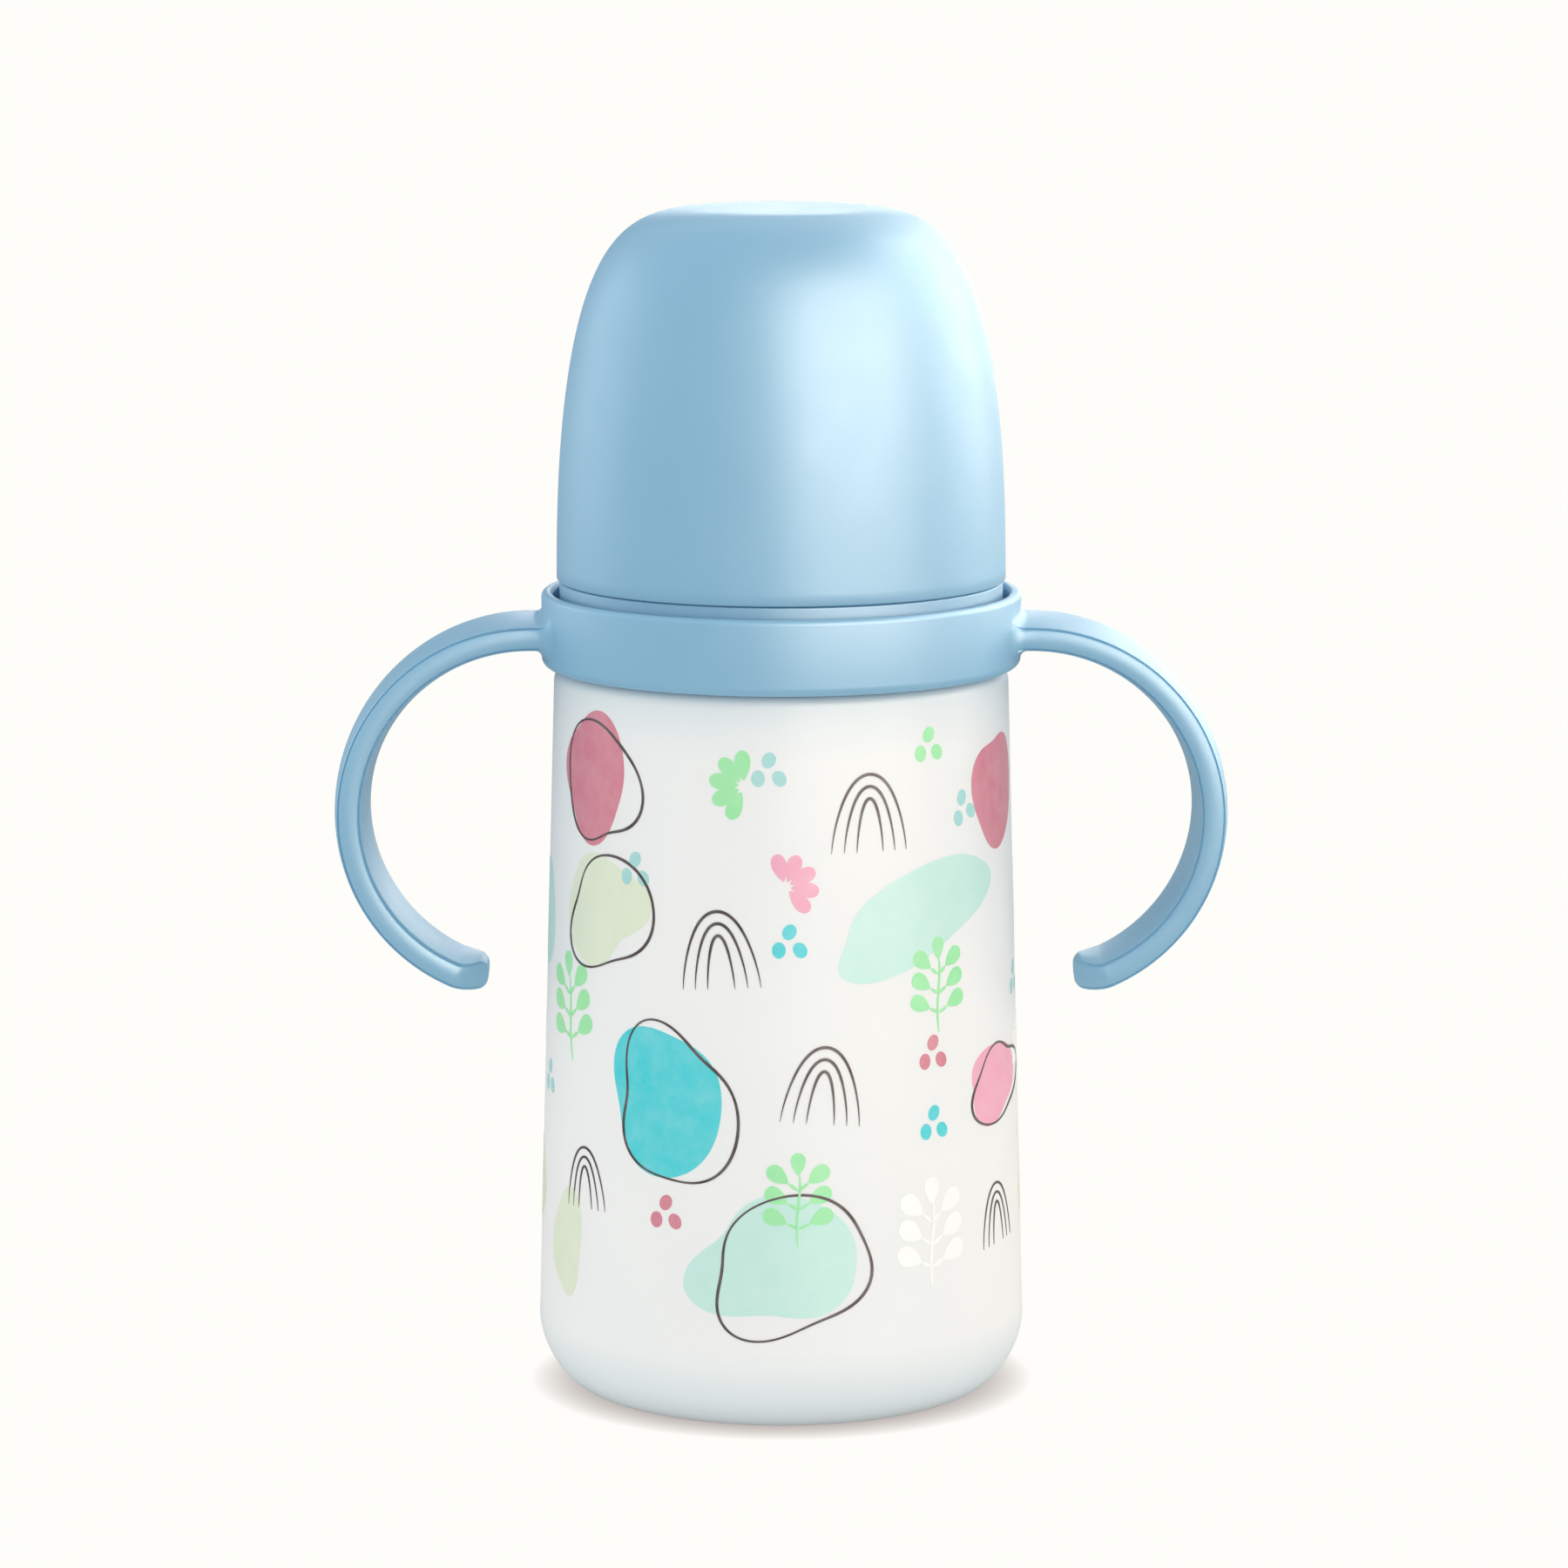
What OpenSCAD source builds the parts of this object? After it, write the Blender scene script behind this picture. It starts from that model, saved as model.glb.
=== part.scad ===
// Wide-neck feeding bottle with a two-handled ring, a screw collar, a soft teat and a domed cap.
// The frame's origin is the centre of the base, +Z is up and the handles lie along X.

/* [Bottle] */
// Height of the shoulder that the handle ring rests on
shoulder_z = 104.5; // [102:0.5:106]
// Radius of the body where the rounded base corner begins
body_r = 35; // [34.6:0.1:35.6]
// Radius of the body just under the shoulder
waist_r = 32.4; // [32:0.1:32.8]
// Height of the rounded corner between the base and the side
corner_h = 10; // [8:0.5:16]
// Outer radius of the ring that the bottle stands on
foot_r = 28; // [26:0.5:29]
// Depth of the hollow in the middle of the base
base_hollow = 2.5; // [1.5:0.5:4]
// Thickness of the bottle's wall
bottle_wall = 1.4; // [1.2:0.1:1.8]

/* [Neck and thread] */
// Outer radius of the neck between its threads
neck_r = 28; // [27.6:0.1:28.1]
// Height of the bottle's rim
rim_z = 121; // [120.6:0.1:121.4]
// Rise of the screw thread in one turn
thread_lead = 5; // [4.8:0.1:5.2]
// Length of each thread, in turns
thread_turns = 1.04; // [0.8:0.02:1.06]
// How far each thread stands out of its wall
thread_depth = 1.1; // [0.9:0.05:1.15]

/* [Handle ring] */
// Outer radius of the ring
ring_r = 34.2; // [33.9:0.1:34.6]
// Height of the ring's upper edge
ring_top_z = 115.3; // [114.5:0.1:115.6]
// Thickness of the ring's wall
ring_wall = 1.7; // [1.4:0.1:1.9]
// Distance from the bottle's axis to the outside of a handle
handle_reach = 63.9; // [61:0.1:66]
// Radius of a handle's arc, along its outer edges
handle_r = 27.4; // [26:0.1:28]
// Thickness of a handle between its edges
handle_t = 3.45; // [3:0.05:3.8]
// Thickness of a handle where its tip begins
handle_lower_t = 3.8; // [3.4:0.1:4.2]
// Thickness of a handle at its tip
handle_tip_t = 4.2; // [3.6:0.1:5]
// How much a handle's broad faces swell between their edges
handle_crown = 0.7; // [0:0.1:1]
// How far a handle's narrow sides are rounded out
handle_side = 1; // [0.5:0.1:1.4]
// Width of a handle at its root
handle_root_w = 20; // [16:0.5:21]
// How much wider a handle is half way round
handle_bulge = 3.8; // [0:0.2:4.4]
// Width of a handle where its tip begins
handle_lower_w = 15.5; // [13:0.5:18]

/* [Collar] */
// Outer radius of the collar's skirt
collar_r = 31.6; // [31.4:0.1:31.8]
// Height of the ledge that the cap sits on
ledge_z = 116.8; // [116.5:0.1:117]
// Radius of the opening that the teat stands in
teat_hole_r = 21.5; // [20.5:0.1:23]

/* [Teat] */
// Height of the teat's tip above the base
teat_tip_z = 163; // [158:0.5:164]
// Radius of the teat's nipple
nipple_r = 6.5; // [5.5:0.1:7.5]
// Wall thickness of the teat
teat_wall = 1.6; // [1.4:0.1:2]

/* [Cap] */
// Outer radius of the cap near its lower edge
cap_r = 32; // [31.9:0.1:32.2]
// Height of the flat top of the cap above the base
cap_top_z = 169.6; // [168:0.2:172]
// Thickness of the cap's wall
cap_wall = 1.5; // [1.3:0.1:1.6]

/* [Hidden] */
$fn = 96;
HANDLE_BLUE = [0.62, 0.78, 0.87];

// Gap between two pieces that bear on each other, and gap round a piece that slides or turns
seat_gap = 0.1;
running_gap = 0.1;

// How far a cut or a joined solid reaches past the surface it meets
overlap = 1;

// Bottle
corner_power = 1.7;
shoulder_round = 2;
foot_w = 4;
neck_wall = 1.8;
neck_bore_r = neck_r - neck_wall;
rim_round = 0.5;
neck_root = 0.5;

// Boss at the foot of the neck, which centres the handle ring
boss_r = neck_r + thread_depth + 0.25;
boss_h = 1.9;

// Handle ring
ring_bottom_z = shoulder_z + seat_gap;
flange_t = 1.8;
flange_top_z = ring_bottom_z + flange_t;
ring_bore_r = boss_r + 0.25;
ring_round = 0.8;

// Collar: its skirt hangs inside the handle ring, over the ring's flange
collar_bottom_z = flange_top_z + 2 * seat_gap;
collar_bore_r = boss_r + running_gap;
collar_bore_top_z = ledge_z - 0.9;
collar_recess_r = neck_r + 0.4;
teat_flange_t = 2;
plate_z = rim_z + teat_flange_t + 2 * seat_gap;
plate_t = 1.5;
collar_top_z = plate_z + plate_t;
collar_round = 0.7;
skirt_round = 0.3;

// Thread section: a trapezium that is sunk a little into its wall
thread_foot_w = 2;
thread_crest_w = 1.1;
thread_sink = 0.4;
thread_step = 5;
thread_fade_angle = 25;
thread_start_z = collar_bottom_z + 2.4;
thread_bearing = 0.3;

// Teat
teat_flange_r = neck_r - 0.2;
teat_flange_z = rim_z + seat_gap;
teat_base_r = teat_hole_r - 0.4;
teat_lip_r = neck_bore_r - 0.3;
teat_lip_h = 2;
teat_lip_t = 1.4;
teat_flange_round = 0.4;
nipple_length = 13;
dome_steps = 16;
milk_hole_r = 0.4;
vent_r = 0.5;
vent_at_r = 23;

// Cap
cap_bottom_z = ledge_z + seat_gap;
cap_h = cap_top_z - cap_bottom_z;
cap_crown = 0.3;
cap_height_power = 2.25;
cap_radius_power = 5.3;
cap_steps = 24;
cap_seat_r = cap_r - cap_wall - 2 * running_gap;

// Handle: a wide arc, then a tighter arc that brings the end level, then a rounded tip
handle_top_z = ring_bottom_z + 6.5;
handle_arc = [handle_reach - handle_crown - handle_r, handle_top_z - handle_r];
handle_arc_end = -64;
handle_steps = 28;
tip_arc_r = 11;
tip_arc = handle_arc + (handle_r - tip_arc_r) * [cos(handle_arc_end), sin(handle_arc_end)];
tip_arc_end = -87;
tip_length = tip_arc_r * (handle_arc_end - tip_arc_end) * PI / 180;
tip_steps = 6;
handle_tip_w = 6;
handle_tip_round = 1.3;
handle_root_round = 1.2;
handle_root_x = ring_r - ring_wall / 2;
round_steps = 4;
side_steps = 6;

function mix(a, b, t) = a + (b - a) * t;
function side_r(z) = mix(body_r, waist_r, (z - corner_h) / (shoulder_z - corner_h));

// A rectangle from corner [x0, y0] to corner [x1, y1] with rounded corners
module soft_rectangle(x0, y0, x1, y1, round) {
    translate([x0 + round, y0]) square([x1 - x0 - 2 * round, y1 - y0]);
    translate([x0, y0 + round]) square([x1 - x0, y1 - y0 - 2 * round]);
    for (x = [x0 + round, x1 - round], y = [y0 + round, y1 - round])
        translate([x, y]) circle(round);
}

// ---- Bottle ----

// Half section of the body, or of the space in it where inset is the wall's thickness
function body_outline(inset) =
    let (corner = [for (t = [0 : 7.5 : 90])
             [mix(foot_r, body_r, pow(sin(t), 2 / corner_power)) - inset,
              mix(corner_h, inset, pow(cos(t), 2 / corner_power))]],
         shoulder = [for (t = [0 : 15 : 90])
             [side_r(shoulder_z - shoulder_round) - inset - shoulder_round * (1 - cos(t)),
              shoulder_z - inset - shoulder_round * (1 - sin(t))]])
    concat([[0, inset]], corner, shoulder, [[0, shoulder_z - inset]]);

// Half section of the hollow in the base; lift raises it to the dome that it makes inside the bottle
module base_dome(lift) {
    dome_r = foot_r - foot_w;
    sphere_r = (dome_r * dome_r + base_hollow * base_hollow) / (2 * base_hollow);
    intersection() {
        translate([0, base_hollow + lift - sphere_r]) circle(sphere_r);
        translate([0, -overlap]) square([foot_r - 2 * bottle_wall, base_hollow + lift + 2 * overlap]);
    }
}

module bottle() {
    color([0.88, 0.93, 0.95, 0.6]) {
        difference() {
            union() {
                rotate_extrude() polygon(body_outline(0));
                translate([0, 0, shoulder_z - bottle_wall])
                    cylinder(r = boss_r, h = bottle_wall + boss_h);
            }
            rotate_extrude() difference() {
                polygon(body_outline(bottle_wall));
                base_dome(bottle_wall);
            }
            rotate_extrude() base_dome(0);
            translate([0, 0, shoulder_z - bottle_wall - overlap])
                cylinder(r = neck_bore_r, h = bottle_wall + boss_h + 2 * overlap);
        }
        rotate_extrude()
            soft_rectangle(neck_bore_r, shoulder_z - neck_root, neck_r, rim_z, rim_round);
        helical_thread(neck_r, neck_r + thread_depth, thread_start_z, 0);
    }
}

// A thread that climbs round the axis from wall_r to crest_r, with ends that fade into the wall
module helical_thread(wall_r, crest_r, start_z, start_angle) {
    steps = ceil(thread_turns * 360 / thread_step);
    outward = sign(crest_r - wall_r);
    fade_steps = thread_fade_angle / thread_step;
    points = [for (i = [0 : steps])
        let (angle = start_angle + i * thread_step,
             z = start_z + thread_lead * i * thread_step / 360,
             grown = min(1, i / fade_steps, (steps - i) / fade_steps),
             sunk_r = wall_r - outward * thread_sink,
             free_r = mix((wall_r + sunk_r) / 2, crest_r, grown))
        each [for (corner = [[sunk_r, -thread_foot_w], [free_r, -thread_crest_w],
                             [free_r, thread_crest_w], [sunk_r, thread_foot_w]])
            [corner[0] * cos(angle), corner[0] * sin(angle), z + corner[1] / 2]]];
    last = 4 * steps;
    sides = [for (i = [0 : steps - 1], k = [0 : 3])
        let (a = 4 * i + k, b = 4 * i + (k + 1) % 4)
        each [[a, b, b + 4], [a, b + 4, a + 4]]];
    ends = [[0, 2, 1], [0, 3, 2], [last, last + 1, last + 2], [last, last + 2, last + 3]];
    faces = concat(sides, ends);
    polyhedron(points, outward > 0 ? faces : [for (f = faces) [f[2], f[1], f[0]]]);
}

// ---- Handle ring ----

module handle_ring() {
    color(HANDLE_BLUE) {
        rotate_extrude() {
            soft_rectangle(ring_r - ring_wall, ring_bottom_z, ring_r, ring_top_z, ring_round);
            soft_rectangle(ring_bore_r, ring_bottom_z, ring_r, flange_top_z, ring_round);
        }
        handle();
        mirror([1, 0, 0]) handle();
    }
}

// A handle's section: crowned broad faces between rounded sides, as [outward, across] points
function handle_section(t, w) =
    let (crown = handle_crown * min(1, w / handle_lower_w))
    [for (side = [1, -1])
        each concat([[side * (t / 2 + crown), 0]],
                    [for (i = [0 : side_steps])
                        let (angle = 90 - 90 * side + 180 * i / side_steps)
                        [t / 2 * cos(angle), side * (w / 2 - handle_side) + handle_side * sin(angle)]])];

// The section at a bearing of an arc, or past it by a distance. Its outer edges lie on the arc's radius.
// hug is 1 where the section follows the ring's round wall.
function station(arc, r, bearing, past, t, w, hug = 0) =
    let (out = [cos(bearing), sin(bearing)],
         along = [sin(bearing), -cos(bearing)],
         centre = arc + out * (r - t / 2) + along * past)
    [for (p = handle_section(t, w))
        let (at = centre + out * p[0],
             drop = ring_r - sqrt(ring_r * ring_r - p[1] * p[1]))
        [at[0] - hug * drop, p[1], at[1]]];

// Thickness and width at a share of the way round the wide arc
function thickness_at(share) = mix(handle_t, handle_lower_t, pow(share, 4));
function width_at(share) =
    mix(handle_root_w, handle_lower_w, share) + handle_bulge * sin(180 * share);

// Width at a distance from the wide arc's end, where the handle narrows to its tip
function tip_width(distance) =
    mix(handle_tip_w, handle_lower_w, cos(90 * distance / (tip_length + handle_tip_round)));

// The first station is sunk in the ring's wall, and the foot narrows in an arc from the next one on
root_stations =
    [for (i = [-1 : round_steps])
        let (lean = 90 * max(i, 0) / round_steps,
             sunk = i < 0 ? handle_root_round / 2 : 0,
             growth = handle_root_round * (1 - sin(lean)),
             past = handle_root_x - sunk + handle_root_round * sin(lean) - handle_arc[0])
        station(handle_arc, handle_r + growth, 90, past,
                thickness_at(0) + 2 * growth, width_at(0) + 2 * growth, 1)];
arc_stations =
    [for (i = [0 : handle_steps])
        let (share = i / handle_steps)
        station(handle_arc, handle_r, mix(90, handle_arc_end, share), 0,
                thickness_at(share), width_at(share))];
tip_stations =
    [for (i = [1 : tip_steps])
        let (share = i / tip_steps)
        station(tip_arc, tip_arc_r, mix(handle_arc_end, tip_arc_end, share), 0,
                mix(handle_lower_t, handle_tip_t, share), tip_width(share * tip_length))];
end_stations =
    [for (i = [1 : round_steps])
        let (lean = 90 * i / round_steps,
             loss = handle_tip_round * (1 - cos(lean)),
             past = handle_tip_round * sin(lean))
        station(tip_arc, tip_arc_r - loss, tip_arc_end, past,
                handle_tip_t - 2 * loss, tip_width(tip_length + past))];

module handle() {
    stations = concat(root_stations, arc_stations, tip_stations, end_stations);
    points = [for (s = stations) each s];
    ring_points = len(stations[0]);
    last = len(points) - ring_points;
    sides = [for (i = [0 : len(stations) - 2], k = [0 : ring_points - 1])
        let (a = i * ring_points + k, b = i * ring_points + (k + 1) % ring_points)
        each [[a, b, b + ring_points], [a, b + ring_points, a + ring_points]]];
    ends = [for (k = [1 : ring_points - 2]) each [[0, k + 1, k], [last, last + k, last + k + 1]]];
    polyhedron(points, concat(sides, ends));
}

// ---- Collar ----

module bore(r, low_z, high_z) {
    translate([0, 0, low_z]) cylinder(r = r, h = high_z - low_z);
}

module collar() {
    color(HANDLE_BLUE) {
        difference() {
            rotate_extrude() {
                soft_rectangle(0, collar_bottom_z, collar_r, ledge_z, skirt_round);
                soft_rectangle(0, ledge_z - 2 * overlap, cap_seat_r, collar_top_z, collar_round);
            }
            bore(collar_bore_r, collar_bottom_z - overlap, collar_bore_top_z);
            bore(collar_recess_r, collar_bore_top_z - overlap, plate_z);
            bore(teat_hole_r, plate_z - overlap, collar_top_z + overlap);
        }
        helical_thread(collar_bore_r, collar_bore_r - thread_depth, thread_start_z + thread_bearing, 180);
    }
}

// ---- Teat ----

// Half section of the teat's outside, or of its inside where inset is the wall's thickness
function teat_outline(inset) =
    let (foot_z = teat_flange_z - teat_lip_h - overlap,
         nipple_z = teat_tip_z - nipple_length,
         tip_r = nipple_r - inset,
         dome = [for (i = [0 : dome_steps])
             [mix(nipple_r, teat_base_r, (1 + cos(180 * i / dome_steps)) / 2) - inset,
              mix(collar_top_z, nipple_z, i / dome_steps)]],
         tip = [for (t = [0 : 10 : 80])
             [tip_r * cos(t), teat_tip_z - nipple_r + tip_r * sin(t)]])
    concat([[0, foot_z], [teat_base_r - inset, foot_z]], dome, tip, [[0, teat_tip_z - inset]]);

module teat() {
    lip_z = teat_flange_z - teat_lip_h;
    color([0.95, 0.93, 0.88, 0.8]) difference() {
        rotate_extrude() {
            intersection() {
                polygon(teat_outline(0));
                translate([0, teat_flange_z]) square([teat_flange_r, teat_tip_z]);
            }
            soft_rectangle(0, teat_flange_z, teat_flange_r, teat_flange_z + teat_flange_t,
                           teat_flange_round);
            translate([teat_lip_r - teat_lip_t, lip_z]) square([teat_lip_t, teat_lip_h + overlap]);
        }
        rotate_extrude() polygon(teat_outline(teat_wall));
        cylinder(r = milk_hole_r, h = teat_tip_z + overlap);
        translate([vent_at_r, 0, teat_flange_z - overlap])
            cylinder(r = vent_r, h = teat_flange_t + 2 * overlap);
    }
}

// ---- Cap ----

// Half section of the cap's outside, or of its inside where inset is the wall's thickness
function cap_outline(inset) =
    let (h = cap_h - inset,
         curve_h = h + cap_crown,
         last = asin(pow(h / curve_h, cap_height_power / 2)))
    [for (i = [0 : cap_steps])
        let (t = last * i / cap_steps)
        [(cap_r - inset) * pow(cos(t), 2 / cap_radius_power),
         cap_bottom_z + curve_h * pow(sin(t), 2 / cap_height_power)]];

module cap() {
    bore_r = cap_r - cap_wall;
    color(HANDLE_BLUE) rotate_extrude() difference() {
        polygon(concat([[0, cap_bottom_z]], cap_outline(0), [[0, cap_top_z]]));
        polygon(concat([[0, cap_bottom_z - overlap], [bore_r, cap_bottom_z - overlap]],
                       cap_outline(cap_wall), [[0, cap_top_z - cap_wall]]));
    }
}

bottle();
handle_ring();
collar();
teat();
cap();
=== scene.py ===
"""The looks of the baby bottle: smooth shells, coloured print, plastics and the studio round them."""

import math
import random

import bmesh
import bpy
from mathutils import Matrix, Vector


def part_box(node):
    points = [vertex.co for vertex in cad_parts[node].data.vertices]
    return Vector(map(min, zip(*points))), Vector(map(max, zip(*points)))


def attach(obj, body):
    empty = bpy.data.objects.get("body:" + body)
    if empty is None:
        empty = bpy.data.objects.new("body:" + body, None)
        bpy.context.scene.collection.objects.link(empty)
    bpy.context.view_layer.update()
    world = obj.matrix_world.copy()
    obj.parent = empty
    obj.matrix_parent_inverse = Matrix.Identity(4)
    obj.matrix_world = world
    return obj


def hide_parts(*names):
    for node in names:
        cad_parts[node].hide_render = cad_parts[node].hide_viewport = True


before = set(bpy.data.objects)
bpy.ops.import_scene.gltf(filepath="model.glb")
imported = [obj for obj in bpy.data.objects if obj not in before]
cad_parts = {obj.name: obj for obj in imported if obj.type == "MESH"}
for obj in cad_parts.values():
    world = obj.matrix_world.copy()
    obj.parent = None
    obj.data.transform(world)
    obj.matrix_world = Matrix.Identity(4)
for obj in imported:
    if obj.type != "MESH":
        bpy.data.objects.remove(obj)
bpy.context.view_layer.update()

MM = 0.001


def corners(node):
    """A CAD node's lowest and highest corner, in millimetres."""
    low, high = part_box(node)
    return low / MM, high / MM


bottle_high = corners("bottle")[1]
ring_high = corners("handle_ring")[1]
collar_low, collar_high = corners("collar")
teat_low, teat_high = corners("teat")
cap_low, cap_high = corners("cap")


# ---- Dimensions in millimetres, from the frame ----

seat_gap = 0.1

# Bottle
body_r = bottle_high.x
rim_z = bottle_high.z
waist_r = body_r - 2.6
corner_h = 10.0
corner_power = 1.7
foot_r = 28.0
foot_w = 4.0
base_hollow = 2.5
shoulder_round = 2.0
bottle_wall = 1.4

# Handle ring
ring_r = ring_high.y
ring_top_z = ring_high.z
ring_wall = 1.7
ring_flange_t = 1.8
ring_bottom_z = collar_low.z - 2 * seat_gap - ring_flange_t
shoulder_z = ring_bottom_z - seat_gap

# Neck and its thread
neck_r = teat_high.x + 0.2
neck_wall = 1.8
thread_depth = 1.1
thread_lead = 5.0
thread_turns = 1.04
thread_foot_w = 2.0
thread_crest_w = 1.1
boss_r = neck_r + thread_depth + 0.25
boss_h = 1.9

# Handles: a wide arc, then a tighter arc that brings the end level
handle_reach = ring_high.x
handle_r = 27.4
handle_t = 3.45
handle_lower_t = 3.8
handle_tip_t = 4.2
handle_crown = 0.7
handle_side = 1.0
handle_root_w = 20.0
handle_lower_w = 15.5
handle_bulge = 3.8
handle_tip_w = 6.0
handle_top_z = ring_bottom_z + 6.5
handle_arc_end = -64
tip_arc_r = 11.0
tip_arc_end = -87

# Collar
collar_r = collar_high.x
collar_bottom_z = collar_low.z
collar_top_z = collar_high.z
collar_bore_r = boss_r + 0.1
collar_plate_t = 1.5
ledge_z = cap_low.z - seat_gap
neck_thread_z = collar_bottom_z + 2.4
collar_thread_z = collar_bottom_z + 2.7

# Cap
cap_r = cap_high.x
cap_bottom_z = cap_low.z
cap_top_z = cap_high.z
cap_wall = 1.5
cap_seat_r = cap_r - cap_wall - 0.2

# Teat
teat_hole_r = 21.5
teat_base_r = teat_hole_r - 0.4
teat_flange_t = 2.0
teat_flange_z = rim_z + seat_gap
teat_wall = 1.6
nipple_r = 6.5
nipple_length = 13.0
milk_hole_r = 0.4


def mix(a, b, t):
    return a + (b - a) * t


def side_r(z):
    """Radius of the bottle's straight side at a height."""
    return mix(body_r, waist_r, (z - corner_h) / (shoulder_z - corner_h))


# ---- Mesh building ----


def object_of(name, points, faces):
    """An object whose points are in millimetres."""
    mesh = bpy.data.meshes.new(name)
    mesh.from_pydata([Vector(p) * MM for p in points], [], faces)
    mesh.update()
    obj = bpy.data.objects.new(name, mesh)
    bpy.context.scene.collection.objects.link(obj)
    return obj


def face_outward(obj):
    shape = bmesh.new()
    shape.from_mesh(obj.data)
    bmesh.ops.recalc_face_normals(shape, faces=shape.faces)
    shape.to_mesh(obj.data)
    shape.free()


def smooth_shade(obj, sharp_degrees):
    for face in obj.data.polygons:
        face.use_smooth = True
    obj.data.set_sharp_from_angle(angle=math.radians(sharp_degrees))


def join_solid(obj, other):
    """Fuses another closed object into obj."""
    fuse = obj.modifiers.new("fuse", "BOOLEAN")
    fuse.operation = "UNION"
    fuse.solver = "EXACT"
    fuse.object = other
    graph = bpy.context.evaluated_depsgraph_get()
    mesh = bpy.data.meshes.new_from_object(obj.evaluated_get(graph))
    obj.modifiers.clear()
    obj.data = mesh
    bpy.data.objects.remove(other)


def rounded(corner_list, steps=6):
    """A closed outline through (r, z, round) corners, each turned with an arc of its own round."""
    outline = []
    count = len(corner_list)
    for i, (r, z, size) in enumerate(corner_list):
        here = Vector((r, z))
        before = (Vector(corner_list[i - 1][:2]) - here).normalized()
        after = (Vector(corner_list[(i + 1) % count][:2]) - here).normalized()
        half = before.angle(after) / 2
        centre = here + (before + after).normalized() * size / math.sin(half)
        arm = here + before * size / math.tan(half) - centre
        arm_end = here + after * size / math.tan(half) - centre
        turn = math.atan2(arm.x * arm_end.y - arm.y * arm_end.x, arm.dot(arm_end))
        for k in range(steps + 1):
            outline.append(tuple(centre + Matrix.Rotation(turn * k / steps, 2) @ arm))
    return outline


def lathe(name, outline, closed, segments=240):
    """Turns an outline of (r, z) points round the axis. An open outline starts and ends on the axis."""
    points, rings = [], []
    for r, z in outline:
        if r < 1e-6:
            rings.append([len(points)] * segments)
            points.append((0, 0, z))
            continue
        rings.append(list(range(len(points), len(points) + segments)))
        for k in range(segments):
            turn = 2 * math.pi * k / segments
            points.append((r * math.cos(turn), r * math.sin(turn), z))
    faces = []
    last = len(rings) if closed else len(rings) - 1
    for i in range(last):
        low, high = rings[i], rings[(i + 1) % len(rings)]
        for k in range(segments):
            n = (k + 1) % segments
            face = (low[k], low[n], high[n], high[k])
            faces.append(list(dict.fromkeys(face)))
    obj = object_of(name, points, faces)
    face_outward(obj)
    return obj


def loft(name, sections):
    """A closed solid through a row of sections with the same number of points."""
    count = len(sections[0])
    points = [p for section in sections for p in section]
    faces = []
    for i in range(len(sections) - 1):
        for k in range(count):
            a, b = i * count + k, i * count + (k + 1) % count
            faces.append((a, b, b + count, a + count))
    faces.append(tuple(reversed(range(count))))
    faces.append(tuple(range(len(points) - count, len(points))))
    obj = object_of(name, points, faces)
    face_outward(obj)
    return obj


def thread(name, wall_r, crest_r, start_z, start_turn):
    """A helical thread from wall_r to crest_r whose ends fade into the wall."""
    steps_per_turn, fade, sink = 120, 0.07, 0.4
    steps = math.ceil(thread_turns * steps_per_turn)
    outward = math.copysign(1, crest_r - wall_r)
    sunk_r = wall_r - outward * sink
    sections = []
    for i in range(steps + 1):
        turns = i / steps_per_turn
        grown = min(1, turns / fade, (steps / steps_per_turn - turns) / fade)
        free_r = mix((wall_r + sunk_r) / 2, crest_r, grown)
        angle = 2 * math.pi * (turns + start_turn)
        z = start_z + thread_lead * turns
        profile = [(sunk_r, -thread_foot_w), (free_r, -thread_crest_w),
                   (free_r, thread_crest_w), (sunk_r, thread_foot_w)]
        sections.append([(r * math.cos(angle), r * math.sin(angle), z + rise / 2) for r, rise in profile])
    return loft(name, sections)


# ---- Materials ----


class Recipe:
    """The node tree of a new material or world, with short ways to add and join nodes."""

    def __init__(self, owner):
        owner.use_nodes = True
        self.owner = owner
        self.tree = owner.node_tree
        self.tree.nodes.clear()
        coordinates = self.node("ShaderNodeTexCoord").outputs
        self.place = coordinates["Object"]
        self.direction = coordinates["Generated"]

    def node(self, kind, inputs=None, **settings):
        made = self.tree.nodes.new(kind)
        for key, value in settings.items():
            setattr(made, key, value)
        for key, value in (inputs or {}).items():
            if isinstance(value, bpy.types.NodeSocket):
                self.tree.links.new(value, made.inputs[key])
            else:
                made.inputs[key].default_value = value
        return made

    def noise(self, scale, detail, roughness=0.5):
        inputs = {"Vector": self.place, "Scale": scale, "Detail": detail, "Roughness": roughness}
        return self.node("ShaderNodeTexNoise", inputs).outputs["Fac"]

    def remap(self, value, low, high, from_low=0.3, from_high=0.7, **settings):
        """Maps from_low to from_high onto low to high; the usual range is where most of a noise lies."""
        inputs = {"Value": value, "From Min": from_low, "From Max": from_high,
                  "To Min": low, "To Max": high}
        return self.node("ShaderNodeMapRange", inputs, **settings).outputs["Result"]

    def blend_colour(self, share, a, b):
        return self.node("ShaderNodeMix", {0: share, 6: a, 7: b}, data_type="RGBA").outputs[2]

    def blend_shaders(self, share, a, b):
        return self.node("ShaderNodeMixShader", {0: share, 1: a.outputs[0], 2: b.outputs[0]})

    def arithmetic(self, operation, a, b):
        return self.node("ShaderNodeMath", {0: a, 1: b}, operation=operation).outputs[0]

    def bump(self, height, strength, distance):
        inputs = {"Height": height, "Strength": strength, "Distance": distance}
        return self.node("ShaderNodeBump", inputs).outputs["Normal"]

    def finish(self, shader):
        """Sends the shader to the output, and returns the material or world."""
        kind = "World" if isinstance(self.owner, bpy.types.World) else "Material"
        self.node("ShaderNodeOutput" + kind, {"Surface": shader.outputs[0]})
        return self.owner


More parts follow.
